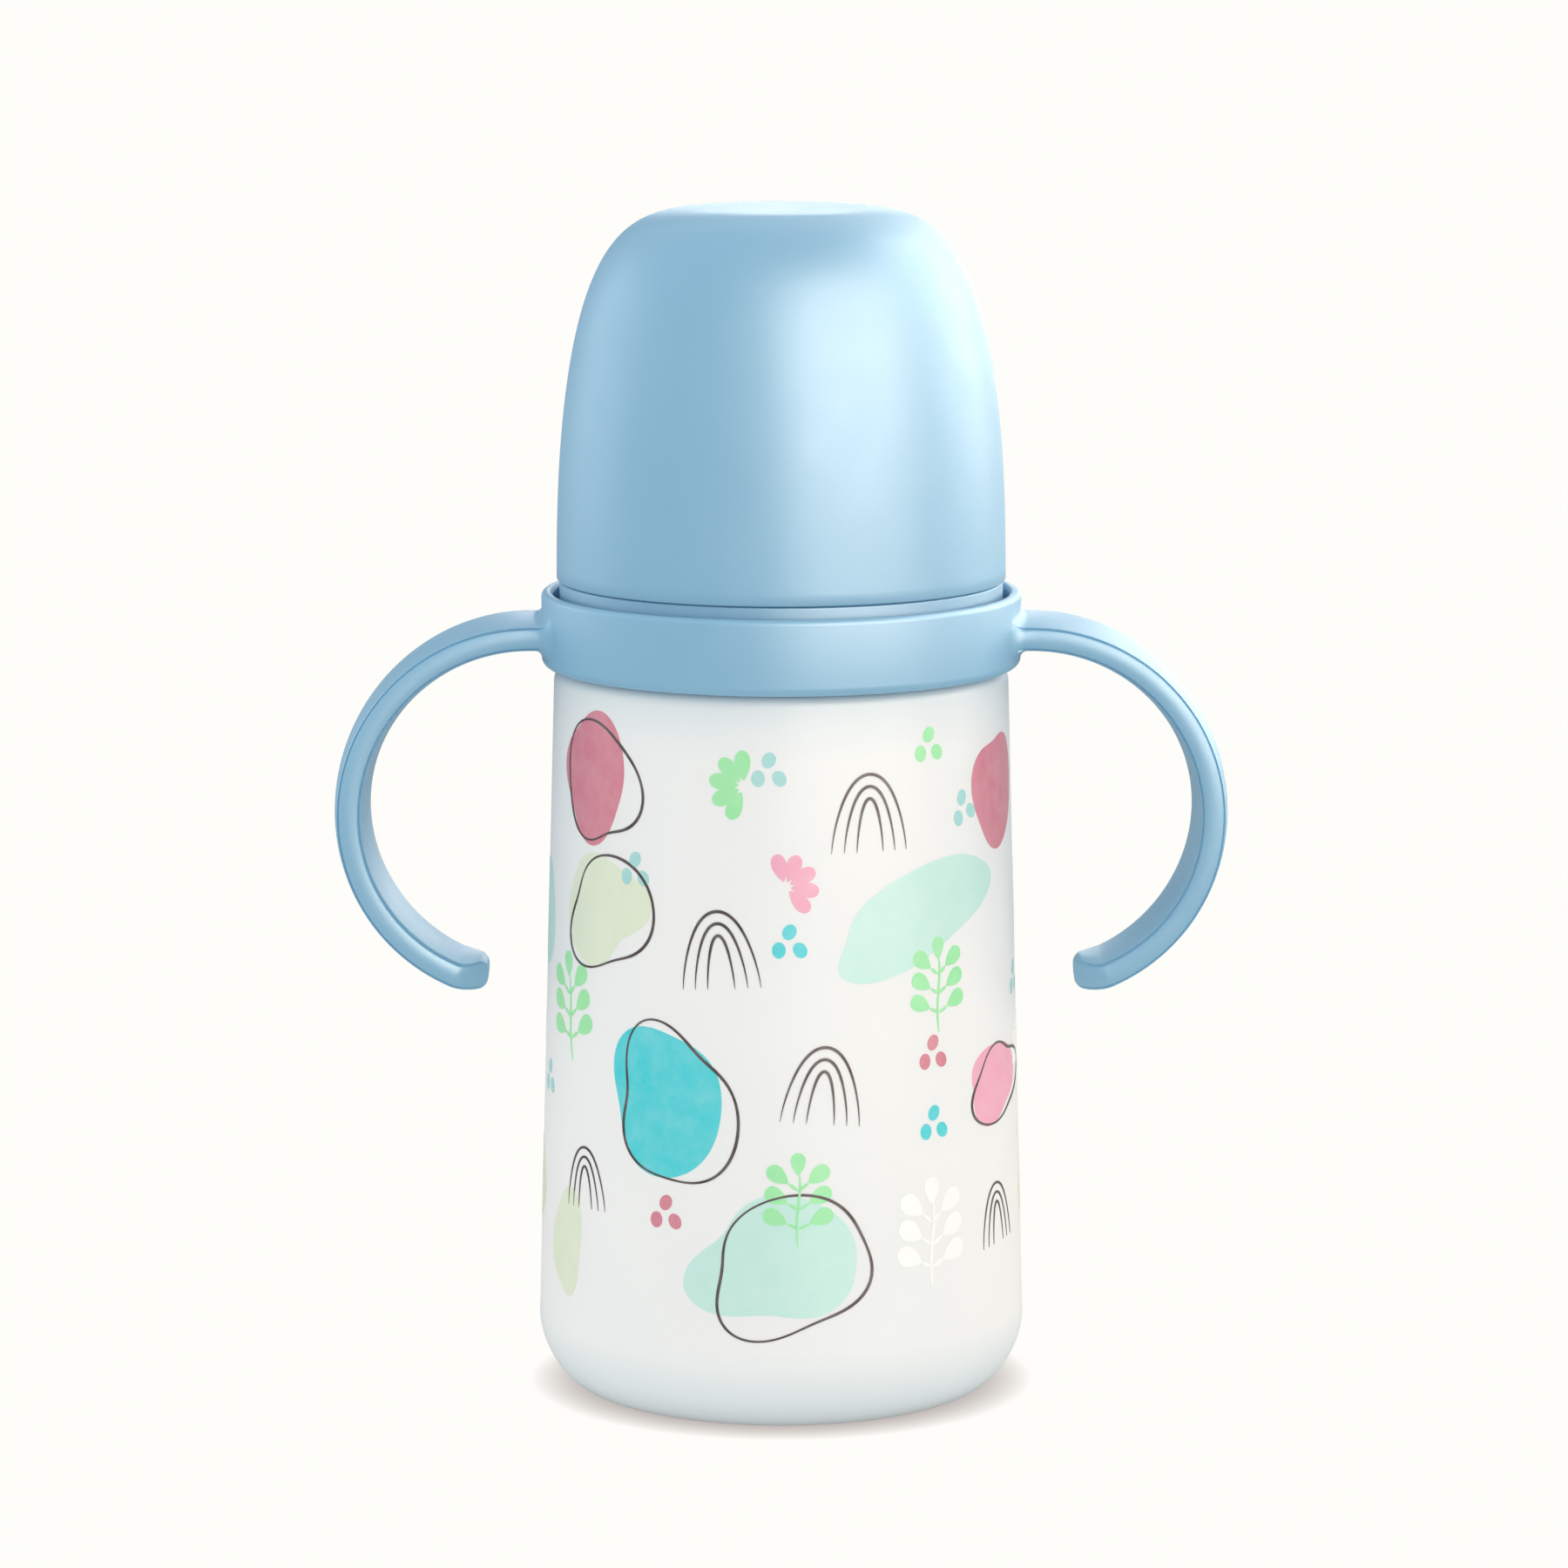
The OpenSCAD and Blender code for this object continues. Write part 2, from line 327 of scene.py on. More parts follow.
def material_recipe(name):
    return Recipe(bpy.data.materials.new(name))


def rgb(r, g, b):
    """A linear colour from screen values of 0 to 255."""
    def linear(v):
        v = v / 255
        return v / 12.92 if v <= 0.04045 else ((v + 0.055) / 1.055) ** 2.4
    return (linear(r), linear(g), linear(b), 1)


BLUE, DEEPER_BLUE = (0.224, 0.437, 0.604, 1), (0.21, 0.422, 0.594, 1)


def blue_plastic(name):
    """Satin moulded plastic: faint flow mottling, an uneven sheen and a fine spark-eroded grain."""
    recipe = material_recipe(name)
    mottle = recipe.remap(recipe.noise(scale=55, detail=3), 0, 1)
    grain = recipe.noise(scale=1500, detail=4, roughness=0.6)
    return recipe.finish(recipe.node("ShaderNodeBsdfPrincipled", {
        "Base Color": recipe.blend_colour(mottle, BLUE, DEEPER_BLUE),
        "Roughness": recipe.remap(recipe.noise(scale=180, detail=3), 0.41, 0.47),
        "IOR": 1.49,
        "Subsurface Weight": 0.1,
        "Subsurface Radius": (0.5, 0.8, 1.0),
        "Subsurface Scale": 0.0015,
        "Normal": recipe.bump(grain, strength=0.06, distance=0.0001),
    }))


def milky_plastic(name):
    """Milky polypropylene: faintly cloudy, with painted shade as a cooler, darker tint at the foot and at
    the shoulder under the ring, partly the thicker plastic there.
    """
    thick_shaded_base_h, thick_shaded_shoulder_h = 12 * MM, 9 * MM
    glow_share, clear_share = 0.12, 0.05
    recipe = material_recipe(name)
    cloud = recipe.remap(recipe.noise(scale=22, detail=2), 0, 1)
    milk = recipe.blend_colour(cloud, rgb(251, 251, 250), rgb(248, 249, 249))
    height = recipe.node("ShaderNodeSeparateXYZ", {0: recipe.place}).outputs["Z"]
    at_base = recipe.remap(height, 1, 0, 0, thick_shaded_base_h)
    at_shoulder = recipe.remap(height, 0, 0.6, shoulder_z * MM - thick_shaded_shoulder_h, shoulder_z * MM)
    thick_and_shaded = recipe.arithmetic("ADD", at_base, at_shoulder)
    # Painted shade: cooler and darker at the foot and under the ring at the shoulder, partly the thicker
    # plastic there
    colour = recipe.blend_colour(thick_and_shaded, milk, rgb(222, 236, 241))
    skin = recipe.node("ShaderNodeBsdfPrincipled", {
        "Base Color": colour,
        "Roughness": recipe.remap(recipe.noise(scale=120, detail=2), 0.34, 0.42),
        "IOR": 1.49,
        "Specular IOR Level": 0.15,
        "Normal": recipe.bump(recipe.noise(scale=420, detail=2), strength=0.05, distance=0.0001),
    })
    glow = recipe.node("ShaderNodeBsdfTranslucent", {"Color": colour})
    clear = recipe.node("ShaderNodeBsdfTransparent", {"Color": (0.96, 0.985, 1, 1)})
    body = recipe.blend_shaders(glow_share, skin, glow)
    return recipe.finish(recipe.blend_shaders(clear_share, body, clear))


def silicone(name):
    """Soft translucent silicone with a faint bloom."""
    glow_share = 0.35
    recipe = material_recipe(name)
    cloud = recipe.remap(recipe.noise(scale=60, detail=2), 0, 1)
    colour = recipe.blend_colour(cloud, (0.88, 0.84, 0.75, 1), (0.93, 0.9, 0.84, 1))
    skin = recipe.node("ShaderNodeBsdfPrincipled", {
        "Base Color": colour,
        "Roughness": recipe.remap(recipe.noise(scale=150, detail=3), 0.3, 0.42),
        "IOR": 1.41,
        "Subsurface Weight": 0.5,
        "Subsurface Radius": (1.0, 0.8, 0.6),
        "Subsurface Scale": 0.004,
        "Normal": recipe.bump(recipe.noise(scale=900, detail=3), strength=0.06, distance=0.0001),
    })
    glow = recipe.node("ShaderNodeBsdfTranslucent", {"Color": colour})
    return recipe.finish(recipe.blend_shaders(glow_share, skin, glow))


def ink(name, colour):
    """Printed ink: a film of slightly uneven density, a little paler where it is thin."""
    glow_share, thin_paleness = 0.12, 0.12
    recipe = material_recipe(name)
    paler = tuple(mix(c, 1, thin_paleness) for c in colour)
    density = recipe.remap(recipe.noise(scale=300, detail=4, roughness=0.6), 0, 1)
    shade = recipe.blend_colour(density, colour, paler)
    skin = recipe.node("ShaderNodeBsdfPrincipled", {
        "Base Color": shade,
        "Roughness": recipe.remap(recipe.noise(scale=400, detail=2), 0.3, 0.4),
        "Specular IOR Level": 0.3,
        "Normal": recipe.bump(recipe.noise(scale=2600, detail=1), strength=0.06, distance=0.00005),
    })
    glow = recipe.node("ShaderNodeBsdfTranslucent", {"Color": shade})
    return recipe.finish(recipe.blend_shaders(glow_share, skin, glow))


def paint(obj, material):
    obj.data.materials.clear()
    obj.data.materials.append(material)


def stand_for(shell, node, material, sharp_degrees=40):
    """Finishes a shell and puts it in the place of its CAD node, on the body of the same name."""
    smooth_shade(shell, sharp_degrees)
    paint(shell, material)
    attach(shell, node)
    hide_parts(node)


# ---- Bottle ----


def bottle_side(inset, floor_z):
    """The body's outline from the foot to the shoulder, or the space inside where inset is the wall."""
    corner_steps, shoulder_steps = 24, 8
    outline = []
    for i in range(corner_steps + 1):
        t = math.radians(90 * i / corner_steps)
        outline.append((mix(foot_r, body_r, math.sin(t) ** (2 / corner_power)) - inset,
                        mix(corner_h, floor_z, math.cos(t) ** (2 / corner_power))))
    top_r = side_r(shoulder_z - shoulder_round) - inset
    top_z = shoulder_z - inset
    for i in range(shoulder_steps + 1):
        t = math.radians(90 * i / shoulder_steps)
        outline.append((top_r - shoulder_round * (1 - math.cos(t)),
                        top_z - shoulder_round * (1 - math.sin(t))))
    return outline


def base_dome(lift):
    """The dome in the base from its edge to the axis, raised by lift."""
    steps = 12
    dome_r = foot_r - foot_w
    sphere_r = (dome_r ** 2 + base_hollow ** 2) / (2 * base_hollow)
    outline = []
    for i in range(steps + 1):
        r = dome_r * (1 - i / steps)
        outline.append((r, base_hollow + lift - sphere_r + math.sqrt(sphere_r ** 2 - r ** 2)))
    return outline


def make_bottle():
    bore_r = neck_r - neck_wall
    boss_top_z = shoulder_z + boss_h
    neck = rounded([(boss_r, shoulder_z, 0.3), (boss_r, boss_top_z, 0.3),
                    (neck_r, boss_top_z, 0.3), (neck_r, rim_z, 0.5),
                    (bore_r, rim_z, 0.5), (bore_r, shoulder_z - bottle_wall, 0.8)])
    outside = base_dome(0)[::-1] + bottle_side(0, 0)
    inside = bottle_side(bottle_wall, bottle_wall)[::-1] + base_dome(bottle_wall)
    bottle = lathe("bottle_shell", outside + neck + inside, closed=False)
    join_solid(bottle, thread("neck_thread", neck_r, neck_r + thread_depth, neck_thread_z, 0))
    stand_for(bottle, "bottle", milky_plastic("milky_polypropylene"))


make_bottle()


# ---- Print on the bottle ----

# How far patches, motifs and drawn lines stand out from the wall, and how deep all are rooted in it
FILL, MOTIF, LINE = 0.04, 0.06, 0.08
INK_SINK = 0.03

INKS = {
    "rose": rgb(218, 130, 148),
    "pink": rgb(244, 170, 194),
    "teal": rgb(70, 214, 222),
    "mint": rgb(200, 238, 228),
    "leaf": rgb(160, 238, 172),
    "pale": rgb(230, 239, 214),
    "aqua": rgb(168, 222, 220),
    "line": rgb(66, 50, 54),
    "white": rgb(255, 255, 253),
}

# The points and faces of each ink's film
films = {}


def placer(azimuth, z, tilt=0, size=1):
    """Maps a motif's flat points, u to the right and v up, onto the bottle's side."""
    turn = math.radians(tilt)

    def place(u, v, lift):
        across = size * (u * math.cos(turn) - v * math.sin(turn))
        up = size * (u * math.sin(turn) + v * math.cos(turn))
        r = side_r(z + up) + lift
        angle = math.radians(azimuth) + across / side_r(z)
        return (r * math.sin(angle), -r * math.cos(angle), z + up)
    return place


def turned(outline, degrees, shift):
    """An outline turned about the origin and then shifted."""
    turn = math.radians(degrees)
    return [(u * math.cos(turn) - v * math.sin(turn) + shift[0],
             u * math.sin(turn) + v * math.cos(turn) + shift[1]) for u, v in outline]


def print_patch(colour, place, outline, layer, rings):
    """A film of ink inside an outline, as a closed solid that is rooted in the bottle's wall."""
    points, faces = films.setdefault(colour, ([], []))
    count = len(outline)
    middle = [sum(p[axis] for p in outline) / count for axis in (0, 1)]
    top = len(points)
    bottom = top + rings * count + 1
    for lift in (layer, -INK_SINK):
        points.append(place(*middle, lift))
        for i in range(1, rings + 1):
            for u, v in outline:
                points.append(place(mix(middle[0], u, i / rings), mix(middle[1], v, i / rings), lift))
    for k in range(count):
        n = (k + 1) % count
        faces.append((top, top + 1 + k, top + 1 + n))
        faces.append((bottom, bottom + 1 + n, bottom + 1 + k))
        for i in range(rings - 1):
            inner, outer = 1 + i * count, 1 + (i + 1) * count
            faces.append((top + inner + k, top + outer + k, top + outer + n, top + inner + n))
            faces.append((bottom + inner + n, bottom + outer + n, bottom + outer + k, bottom + inner + k))
        rim = 1 + (rings - 1) * count
        faces.append((top + rim + k, bottom + rim + k, bottom + rim + n, top + rim + n))


def print_line(colour, place, path, width, closed=False):
    """A drawn line of ink along a path; a closed line swells in places, an open one tapers at both ends."""
    points, faces = films.setdefault(colour, ([], []))
    base, count = len(points), len(path)
    for i, (u, v) in enumerate(path):
        before = path[i - 1] if closed or i > 0 else path[0]
        after = path[(i + 1) % count] if closed or i < count - 1 else path[-1]
        along = Vector((after[0] - before[0], after[1] - before[1])).normalized()
        share = i / (count - 1)
        if closed:
            swell = 1 + 0.25 * math.sin(5 * math.pi * share)
        else:
            swell = 0.1 + math.sin(math.pi * share) ** 0.5
        half = width / 2 * swell
        for edge, lift in ((1, LINE), (-1, LINE), (-1, -INK_SINK), (1, -INK_SINK)):
            points.append(place(u - along.y * edge * half, v + along.x * edge * half, lift))
    for i in range(count if closed else count - 1):
        here, there = base + 4 * i, base + 4 * ((i + 1) % count)
        for k in range(4):
            n = (k + 1) % 4
            faces.append((here + k, here + n, there + n, there + k))
    if not closed:
        last = base + 4 * (count - 1)
        faces.append((base, base + 3, base + 2, base + 1))
        faces.append((last, last + 1, last + 2, last + 3))


def wavy_loop(width, height, seed, steps=84):
    """A smooth closed outline round the origin with a few gentle waves."""
    chance = random.Random(seed)
    waves = [(many, strong * chance.uniform(0.5, 1), chance.uniform(0, 2 * math.pi))
             for many, strong in ((2, 0.12), (3, 0.12), (4, 0.06))]
    outline = []
    for i in range(steps):
        t = 2 * math.pi * i / steps
        r = 1 + sum(strong * math.cos(many * t + where) for many, strong, where in waves)
        outline.append((width / 2 * r * math.cos(t), height / 2 * r * math.sin(t)))
    return outline


def leaf(length, width):
    """A teardrop that starts at the origin and points up."""
    steps, base_power, fullness = 22, 0.4, 1.15
    outline = []
    for i in range(steps):
        t = 2 * math.pi * (i + 0.5) / steps
        rise = (1 - math.cos(t)) / 2
        outline.append((width / 2 * math.sin(t) * rise ** base_power * fullness, length * rise))
    return outline


def pebble(place, colour, width, height, seed, outlined=True):
    """A wavy patch of colour, mostly with a loose line drawn round it."""
    line_tilt, line_w = 14, 0.36
    print_patch(colour, place, wavy_loop(width, height, seed), FILL, rings=9)
    if outlined:
        shift = (width * 0.09, -height * 0.04)
        loop = wavy_loop(width * 1.02, height * 1.05, seed + 1, steps=150)
        print_line("line", place, turned(loop, line_tilt, shift), line_w, closed=True)


def dots(place, colour):
    """Three oval spots."""
    spread, half_w, half_h, steps = 1.7, 0.95, 1.15, 24
    round_angles = [2 * math.pi * i / steps for i in range(steps)]
    oval = [(half_w * math.cos(t), half_h * math.sin(t)) for t in round_angles]
    for k in range(3):
        turn = math.radians(90 + 120 * k)
        centre = (spread * math.cos(turn), spread * math.sin(turn))
        print_patch(colour, place, turned(oval, 30 * (k - 1), centre), MOTIF, rings=2)


def fan(place, colour):
    """Five petals that spread from one point."""
    petals, spread, root = 5, 38, 0.9
    for k in range(petals):
        angle = spread * (k - petals // 2)
        turn = math.radians(angle)
        petal = turned(leaf(4.7, 2.7), -angle, (root * math.sin(turn), root * math.cos(turn)))
        print_patch(colour, place, petal, MOTIF, rings=3)


def sprig(place, colour):
    """A stem with three pairs of stalked leaves and one at its top."""
    stem_foot, stem_top, stem_steps = -6, 5, 22
    stalk_length, stalk_steps = 1.8, 5
    heights = [mix(stem_foot, stem_top, i / stem_steps) for i in range(stem_steps + 1)]
    print_line(colour, place, [(0.25 * math.sin(0.5 * v), v) for v in heights], width=0.35)
    for pair in range(3):
        fork, lean = -3.2 + 2.7 * pair, 64 - 6 * pair
        turn = math.radians(lean)
        for side in (-1, 1):
            end = (side * stalk_length * math.sin(turn), fork + stalk_length * math.cos(turn))
            shares = [i / stalk_steps for i in range(stalk_steps + 1)]
            stalk = [(mix(0, end[0], share), mix(fork, end[1], share)) for share in shares]
            print_line(colour, place, stalk, width=0.4)
            print_patch(colour, place, turned(leaf(3.6, 2.6), -lean * side, end), MOTIF, rings=3)
    print_patch(colour, place, turned(leaf(3.2, 2.3), 0, (0, 4.4)), MOTIF, rings=3)


def arches(place, colour):
    """Three nested arches with splayed feet."""
    outer_half_w, outer_top, foot, steps = 4.6, 5.4, -5.5, 60
    for k in range(3):
        half_w, height = outer_half_w - 1.5 * k, outer_top - 1.7 * k - foot
        path = []
        for i in range(steps + 1):
            t = math.pi * i / steps
            splay = 1 + 0.22 * (1 - math.sin(t)) ** 2
            path.append((-half_w * math.cos(t) * splay, foot + height * math.sin(t) ** 0.75))
        print_line(colour, place, path, width=0.4)


def make_print():
    """Lays out half the pattern from about azimuth -90 to 90 degrees, and repeats it on the back."""
    for back in (0, 180):
        def at(azimuth, z, tilt=0, size=1):
            return placer(azimuth + back, z, tilt, size)

        pebble(at(-54, 91.5), "rose", 15, 17, 3)
        pebble(at(68, 88.5), "rose", 14, 17, 8, outlined=False)
        pebble(at(-50, 73), "pale", 17, 15, 5)
        pebble(at(37, 73, 18), "mint", 31, 12, 12, outlined=False)
        pebble(at(-29, 47), "teal", 18.5, 20, 9)
        pebble(at(64, 47), "pink", 15, 11, 14)
        pebble(at(-62, 24), "pale", 9, 15, 21, outlined=False)
        pebble(at(-1, 25), "mint", 23, 18, 17)
        pebble(at(96, 70), "mint", 12, 15, 30, outlined=False)
        pebble(at(92, 30), "pale", 13, 11, 33, outlined=False)

        arches(at(22, 88), "line")
        arches(at(-15, 69, 4), "line")
        arches(at(10, 50, -5), "line")
        arches(at(-54, 34, 3, 0.8), "line")
        arches(at(63, 28, 4, 0.8), "line")

        fan(at(-9, 92, 80, 0.9), "leaf")
        fan(at(1, 78, -60, 0.85), "pink")
        fan(at(86, 49, 20), "white")
        sprig(at(41, 62), "leaf")
        sprig(at(-62, 57, 8, 1.15), "leaf")
        sprig(at(4, 33), "leaf")
        sprig(at(38, 26.5, 0, 1.2), "white")

        dots(at(-3, 94), "aqua")
        dots(at(39, 96.5), "leaf")
        dots(at(51, 87, 15), "aqua")
        dots(at(-38, 79), "aqua")
        dots(at(2, 70), "teal")
        dots(at(39, 53), "rose")
        dots(at(39, 43), "teal")
        dots(at(-28, 31), "rose")
        dots(at(-76, 46), "aqua")
        dots(at(80, 60), "aqua")

    for colour, (points, faces) in films.items():
        film = object_of("print_" + colour, points, faces)
        smooth_shade(film, 40)
        paint(film, ink("ink_" + colour, INKS[colour]))
        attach(film, "bottle")


make_print()


# ---- Handle ring ----


def band_section(thickness, width, groove):
    """Crowned broad faces between rounded sides, a fine line at each edge, as (outward, across) points."""
    crown_steps, side_steps, groove_at = 12, 16, 3
    crown = handle_crown * min(1, width / handle_lower_w)
    flat = width / 2 - handle_side
    section = []
    for side in (1, -1):
        for i in range(1, crown_steps):
            share = 2 * i / crown_steps - 1
            section.append((side * (thickness / 2 + crown * (1 - share ** 2)), side * share * flat))
        for i in range(side_steps + 1):
            angle = math.radians(90 - 90 * side + 180 * i / side_steps)
            cut = groove if i in (groove_at, side_steps - groove_at) else 0
            section.append((thickness / 2 * math.cos(angle),
                            side * (flat - cut) + handle_side * math.sin(angle)))
    return section


def handle(side):
    """One C-shaped handle, from its flared root on the ring's wall to its rounded tip."""
    edge_groove, root_round, tip_round = 0.35, 1.3, 1.3
    root_depth, root_start, root_release = 0.9, 0.03, 0.3
    arc_steps, tip_steps, round_steps = 72, 16, 10
    arc = Vector((handle_reach - handle_crown - handle_r, handle_top_z - handle_r))
    end = math.radians(handle_arc_end)
    tip_arc = arc + (handle_r - tip_arc_r) * Vector((math.cos(end), math.sin(end)))
    tip_length = tip_arc_r * math.radians(handle_arc_end - tip_arc_end)

    def thickness(share):
        return mix(handle_t, handle_lower_t, share ** 4)

    def width(share):
        return mix(handle_root_w, handle_lower_w, share) + handle_bulge * math.sin(math.pi * share)

    def tip_width(distance):
        fullness = math.cos(math.pi / 2 * distance / (tip_length + tip_round))
        return mix(handle_tip_w, handle_lower_w, fullness)

    def station(centre, r, bearing, past, t, w, hug=0, line=1):
        """A section t thick and w wide at a bearing on an arc, then moved by past along the handle.

        hug is 1 where it follows the ring's wall, and line is 1 where the edge lines have their full depth.
        """
        angle = math.radians(bearing)
        out = Vector((math.cos(angle), math.sin(angle)))
        along = Vector((math.sin(angle), -math.cos(angle)))
        middle = centre + out * (r - t / 2) + along * past
        points = []
        for outward, across in band_section(t, w, edge_groove * line):
            at = middle + out * outward
            drop = ring_r - math.sqrt(ring_r ** 2 - across ** 2)
            points.append((side * (at.x - hug * drop), across, at.y))
        return points

    def root_station(growth, from_axis, hug, line):
        """A section of the root that is larger than the handle by growth all round."""
        return station(arc, handle_r + growth, 90, from_axis - arc.x, thickness(0) + 2 * growth,
                       width(0) + 2 * growth, hug, line)

    sections = [root_station(root_round, ring_r - root_depth, 1, 0)]
    for i in range(round_steps + 1):
        share = i / round_steps
        lean = math.radians(90 * share)
        from_axis = ring_r - root_start + root_round * (1 - math.cos(lean))
        growth = root_round * (1 - math.sin(lean))
        sections.append(root_station(growth, from_axis, 1 - root_release * share, share))
    for i in range(arc_steps + 1):
        share = i / arc_steps
        bearing = mix(90, handle_arc_end, share)
        sections.append(station(arc, handle_r, bearing, 0, thickness(share), width(share)))
    for i in range(1, tip_steps + 1):
        share = i / tip_steps
        bearing = mix(handle_arc_end, tip_arc_end, share)
        t = mix(handle_lower_t, handle_tip_t, share)
        sections.append(station(tip_arc, tip_arc_r, bearing, 0, t, tip_width(share * tip_length)))
    for i in range(1, round_steps + 1):
        share = i / round_steps
        lean = math.radians(90 * share)
        loss = tip_round * (1 - math.cos(lean))
        past = tip_round * math.sin(lean)
        sections.append(station(tip_arc, tip_arc_r - loss, tip_arc_end, past, handle_tip_t - 2 * loss,
                                tip_width(tip_length + past), line=1 - share))
    return loft("handle", sections)


def make_handle_ring():
    flange_bore_r = boss_r + 0.25
    flange_top_z = ring_bottom_z + ring_flange_t
    ring = lathe("handle_ring_shell", rounded([
        (ring_r - ring_wall, ring_top_z, 0.8), (ring_r, ring_top_z, 0.8),
        (ring_r, ring_bottom_z, 1.3), (flange_bore_r, ring_bottom_z, 0.6),
        (flange_bore_r, flange_top_z, 0.6), (ring_r - ring_wall, flange_top_z, 0.6)]),
        closed=True, segments=360)
    for side in (1, -1):
        join_solid(ring, handle(side))
    stand_for(ring, "handle_ring", blue_plastic("handle_plastic"))


make_handle_ring()


# ---- Collar ----


def make_collar():
    plate_z = collar_top_z - collar_plate_t
    recess_r = neck_r + 0.4
    bore_top_z = ledge_z - 0.9
    collar = lathe("collar_shell", rounded([
        (collar_bore_r, collar_bottom_z, 0.3), (collar_r, collar_bottom_z, 0.3),
        (collar_r, ledge_z, 0.3), (cap_seat_r, ledge_z, 0.15),
        (cap_seat_r, collar_top_z, 0.7), (teat_hole_r, collar_top_z, 0.5),
        (teat_hole_r, plate_z, 0.3), (recess_r, plate_z, 0.2),
        (recess_r, bore_top_z, 0.2), (collar_bore_r, bore_top_z, 0.2)]), closed=True)
    crest_r = collar_bore_r - thread_depth
    join_solid(collar, thread("collar_thread", collar_bore_r, crest_r, collar_thread_z, 0.5))
    stand_for(collar, "collar", blue_plastic("collar_plastic"))


make_collar()


# ---- Teat ----


def teat_side(inset):
    """The teat's outline from the top of the collar to its tip, or the space inside it."""
    dome_steps, tip_steps = 40, 14
    nipple_z = teat_high.z - nipple_length
    outline = []
    for i in range(dome_steps + 1):
        share = i / dome_steps
        outline.append((mix(nipple_r, teat_base_r, (1 + math.cos(math.pi * share)) / 2) - inset,
                        mix(collar_top_z, nipple_z, share)))
    tip_r = nipple_r - inset
    for i in range(tip_steps):
        t = math.radians(90 * i / tip_steps)
        outline.append((tip_r * math.cos(t), teat_high.z - nipple_r + tip_r * math.sin(t)))
    return outline


def make_teat():
    low_z, top_z = teat_flange_z, teat_flange_z + teat_flange_t
    flange_r = neck_r - 0.2
    lip_r = neck_r - neck_wall - 0.3
    lip_inner_r = lip_r - 1.4
    flange = rounded([
        (teat_base_r - teat_wall, low_z, 0.3), (lip_inner_r, low_z, 0.3), (lip_inner_r, teat_low.z, 0.5),
        (lip_r, teat_low.z, 0.5), (lip_r, low_z, 0.1), (flange_r, low_z, 0.5), (flange_r, top_z, 0.5),
        (teat_base_r, top_z, 0.2)])
    milk_hole = [(milk_hole_r, teat_high.z), (milk_hole_r, teat_high.z - teat_wall)]
    outline = flange + teat_side(0) + milk_hole + teat_side(teat_wall)[::-1]
    stand_for(lathe("teat_shell", outline, closed=True), "teat", silicone("silicone"))


make_teat()


# ---- Cap ----


def cap_side(inset):
    """The cap's outline from its lower edge to its flat top, or the space inside it."""
    height_power, radius_power, crown, steps = 2.25, 5.3, 0.3, 64
    height = cap_top_z - cap_bottom_z - inset
    curve_h = height + crown
    last = math.asin((height / curve_h) ** (height_power / 2))
    outline = []
    for i in range(steps + 1):
        t = last * i / steps
        outline.append(((cap_r - inset) * math.cos(t) ** (2 / radius_power),
                        cap_bottom_z + curve_h * math.sin(t) ** (2 / height_power)))
    return outline


def make_cap():
    edge, disc_steps = 0.35, 6
    outside = cap_side(0)
    inside = cap_side(cap_wall)
    disc_r, disc_z = outside[-1]
    under_r, under_z = inside[-1]
    flat_top = [(disc_r * (1 - i / disc_steps), disc_z) for i in range(1, disc_steps + 1)]
    flat_under = [(under_r * i / disc_steps, under_z) for i in range(disc_steps)]
    lower_edge = [(cap_r - cap_wall + edge, cap_bottom_z), (cap_r - edge, cap_bottom_z),
                  (cap_r - edge * 0.3, cap_bottom_z + edge * 0.3)]
    outside[0] = (cap_r, cap_bottom_z + edge)
    inside[0] = (cap_r - cap_wall, cap_bottom_z + edge)
    outline = flat_under + inside[::-1] + lower_edge + outside + flat_top
    cap = lathe("cap_shell", outline, closed=False)
    stand_for(cap, "cap", blue_plastic("cap_plastic"), sharp_degrees=25)


make_cap()


# ---- Studio ----

PAPER = (0.991, 0.982, 0.947, 1)
CONTACT_SHADE = (0.5, 0.45, 0.43, 1)
CONTACT_REACH = 0.005
GLOSSY_FLOOR = 0.4

# The light all round is cool on the left and warm on the right. Shiny surfaces mirror a darker patch behind.
AMBIENT = 1.05
COOL, WARM = (0.93, 0.985, 1.02, 1), (1.07, 1.03, 0.985, 1)
DARK_CORNER = (-0.25, 0.96, 0.15)


def make_floor():
    """Pale paper with a soft shade where the bottle stands, dimmer where shiny surfaces mirror it."""
    half = 3000
    floor = object_of("floor", [(-half, -half, 0), (half, -half, 0), (half, half, 0), (-half, half, 0)],
                      [(0, 1, 2, 3)])
    recipe = material_recipe("floor_paper")
    shade = recipe.node("ShaderNodeAmbientOcclusion", {"Distance": CONTACT_REACH}, samples=8)
    glossy = recipe.node("ShaderNodeLightPath").outputs["Is Glossy Ray"]
    paint(floor, recipe.finish(recipe.node("ShaderNodeEmission", {
        "Color": recipe.blend_colour(shade.outputs["AO"], CONTACT_SHADE, PAPER),
        "Strength": recipe.remap(glossy, 1, GLOSSY_FLOOR, 0, 1),
    })))


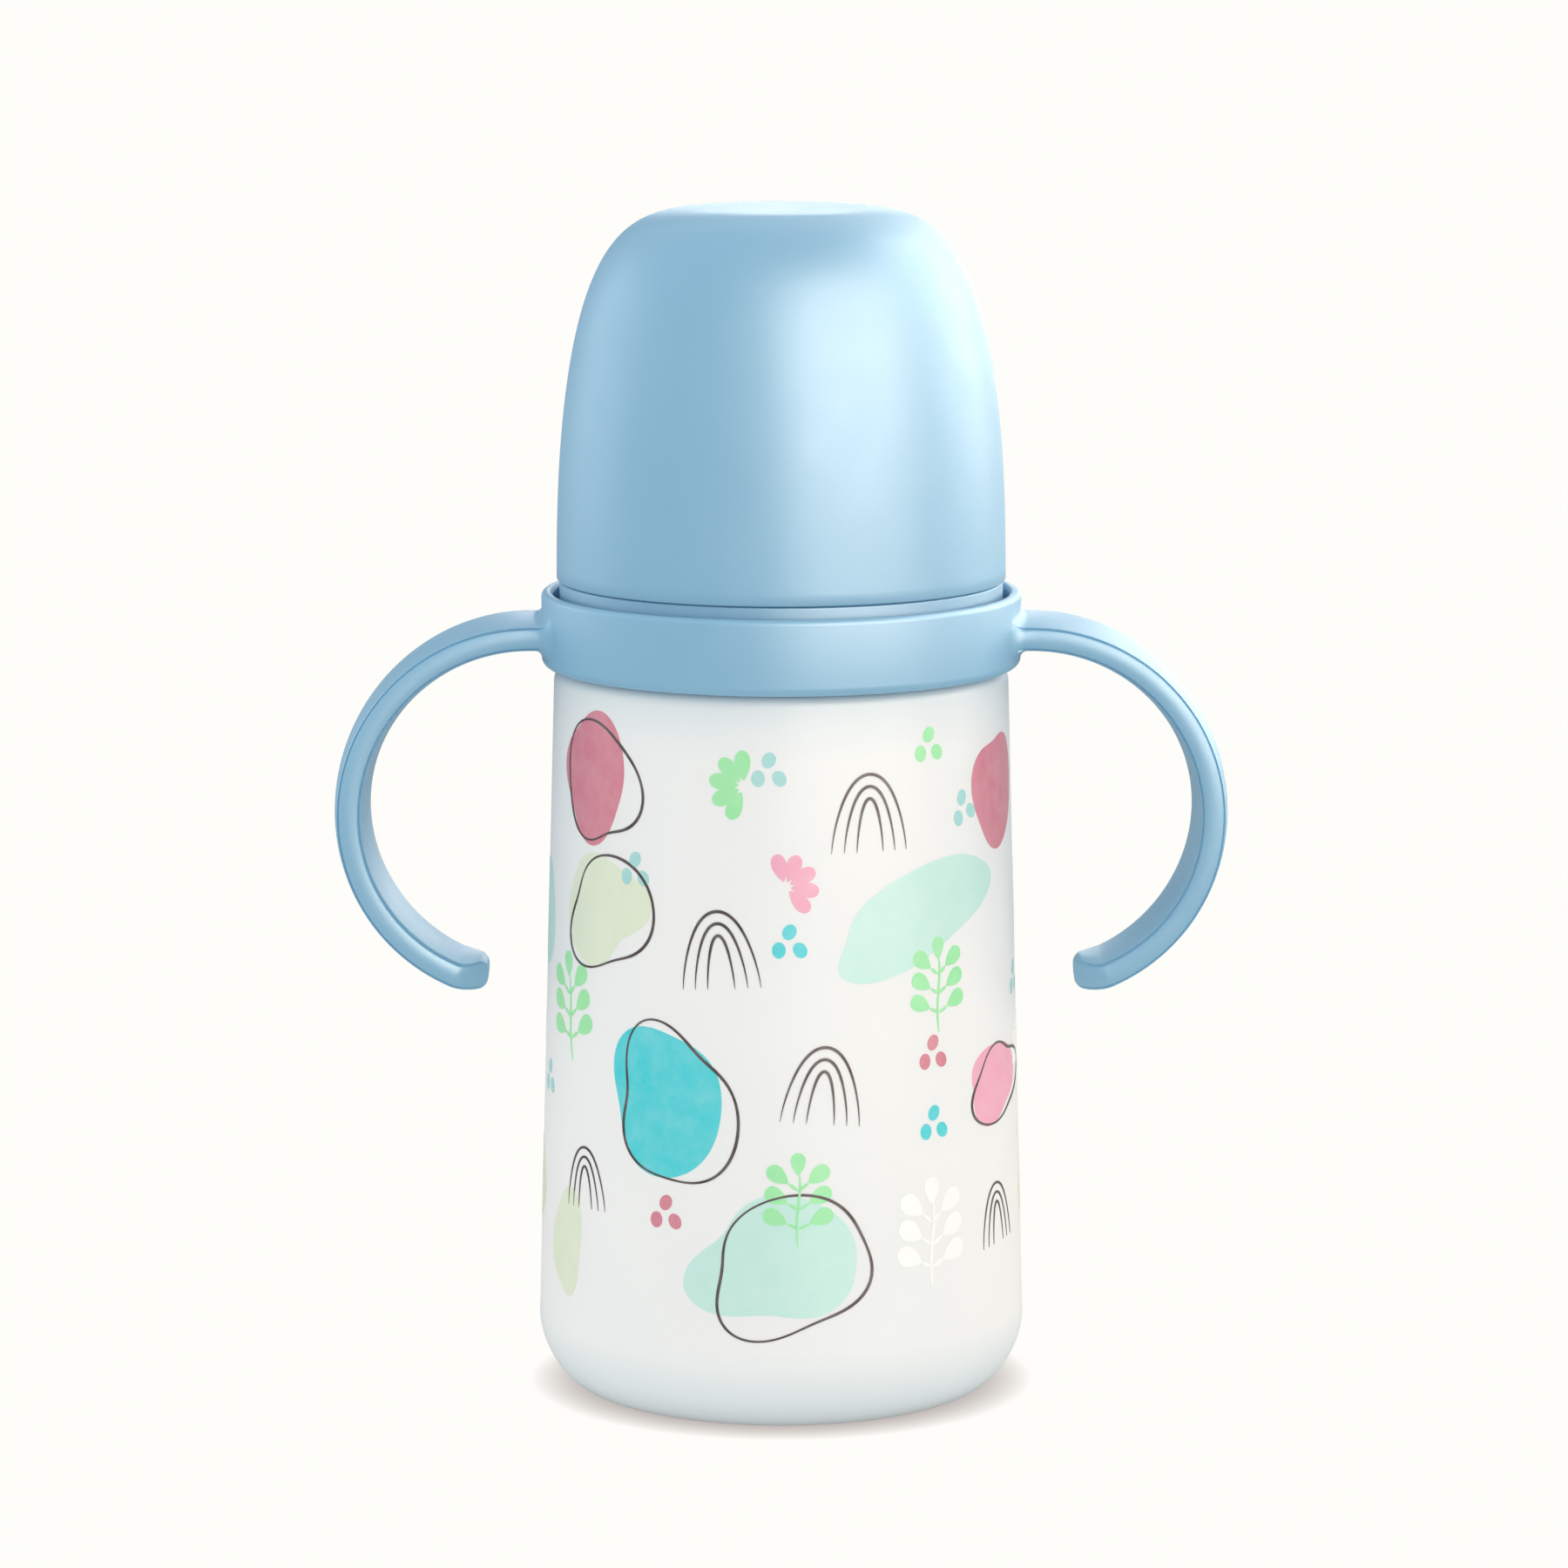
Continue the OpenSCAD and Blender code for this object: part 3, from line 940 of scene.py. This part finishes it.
def make_world():
    """The camera sees plain paper behind the bottle, and every other ray finds the studio's light."""
    tint_edge = 0.8
    corner_edge, corner_core, corner_light = 0.8, 0.97, 0.25
    recipe = Recipe(bpy.data.worlds.new("studio"))
    ray = recipe.node("ShaderNodeLightPath").outputs
    sideways = recipe.node("ShaderNodeSeparateXYZ", {0: recipe.direction}).outputs["X"]
    tint = recipe.blend_colour(recipe.remap(sideways, 0, 1, -tint_edge, tint_edge), COOL, WARM)
    towards = recipe.node("ShaderNodeVectorMath", {0: recipe.direction, 1: Vector(DARK_CORNER).normalized()},
                          operation="DOT_PRODUCT").outputs["Value"]
    corner = recipe.remap(towards, 1, corner_light, corner_edge, corner_core,
                          interpolation_type="SMOOTHSTEP")
    seen_by_gloss = recipe.node("ShaderNodeMix", {"Factor": ray["Is Glossy Ray"], "A": 1, "B": corner})
    strength = recipe.arithmetic("MULTIPLY", seen_by_gloss.outputs["Result"], AMBIENT)
    lighting = recipe.node("ShaderNodeBackground", {"Color": tint, "Strength": strength})
    backdrop = recipe.node("ShaderNodeBackground", {"Color": PAPER})
    bpy.context.scene.world = recipe.finish(recipe.blend_shaders(ray["Is Camera Ray"], lighting, backdrop))


def softbox(name, colour, azimuth, distance, height, size, radiance, gloss_only=True):
    """A soft light aimed at the bottle; the azimuth is measured from the camera's side to the right."""
    turn = math.radians(azimuth)
    place = Vector((distance * math.sin(turn), -distance * math.cos(turn), height))
    target = Vector((0, 0, 0.09))
    light = bpy.data.lights.new(name, "AREA")
    light.shape = "RECTANGLE"
    light.size, light.size_y = size
    light.energy = radiance * math.pi * light.size * light.size_y
    light.color = colour
    obj = bpy.data.objects.new(name, light)
    obj.location = place
    obj.rotation_euler = (target - place).to_track_quat("-Z", "Y").to_euler()
    obj.visible_diffuse = not gloss_only
    bpy.context.scene.collection.objects.link(obj)


def make_lights():
    """Five lights that only make sheen, and a weak one that lights every surface."""
    white, sky, cream = (1.0, 1.0, 1.0), (0.95, 0.98, 1.0), (1.0, 0.92, 0.82)
    sand, amber = (1.0, 0.9, 0.78), (1.0, 0.9, 0.76)
    softbox("sheen", amber, azimuth=37, distance=1.0, height=0.45, size=(1.4, 1.2), radiance=12.5)
    softbox("rim", cream, azimuth=112, distance=1.0, height=0.6, size=(1.0, 1.2), radiance=9.5)
    softbox("left rim", sky, azimuth=-112, distance=1.0, height=0.2, size=(0.7, 0.8), radiance=2.0)
    softbox("back", white, azimuth=158, distance=1.2, height=0.5, size=(0.5, 0.9), radiance=2.5)
    softbox("top", white, azimuth=180, distance=1.5, height=0.42, size=(0.3, 0.3), radiance=5.0)
    softbox("key", sand, azimuth=75, distance=1.2, height=0.5, size=(0.8, 0.8), radiance=0.5,
            gloss_only=False)


def make_camera():
    distance, sideways, eye_height, pitch = 0.9, 0.0004, 0.2318, 9.13
    data = bpy.data.cameras.new("camera")
    data.sensor_width = 36
    data.lens = 146
    camera = bpy.data.objects.new("camera", data)
    camera.location = (sideways, -distance, eye_height)
    camera.rotation_euler = (math.radians(90 - pitch), 0, 0)
    bpy.context.scene.collection.objects.link(camera)
    bpy.context.scene.camera = camera


make_floor()
make_world()
make_lights()
make_camera()
bpy.context.scene.view_settings.view_transform = "Standard"
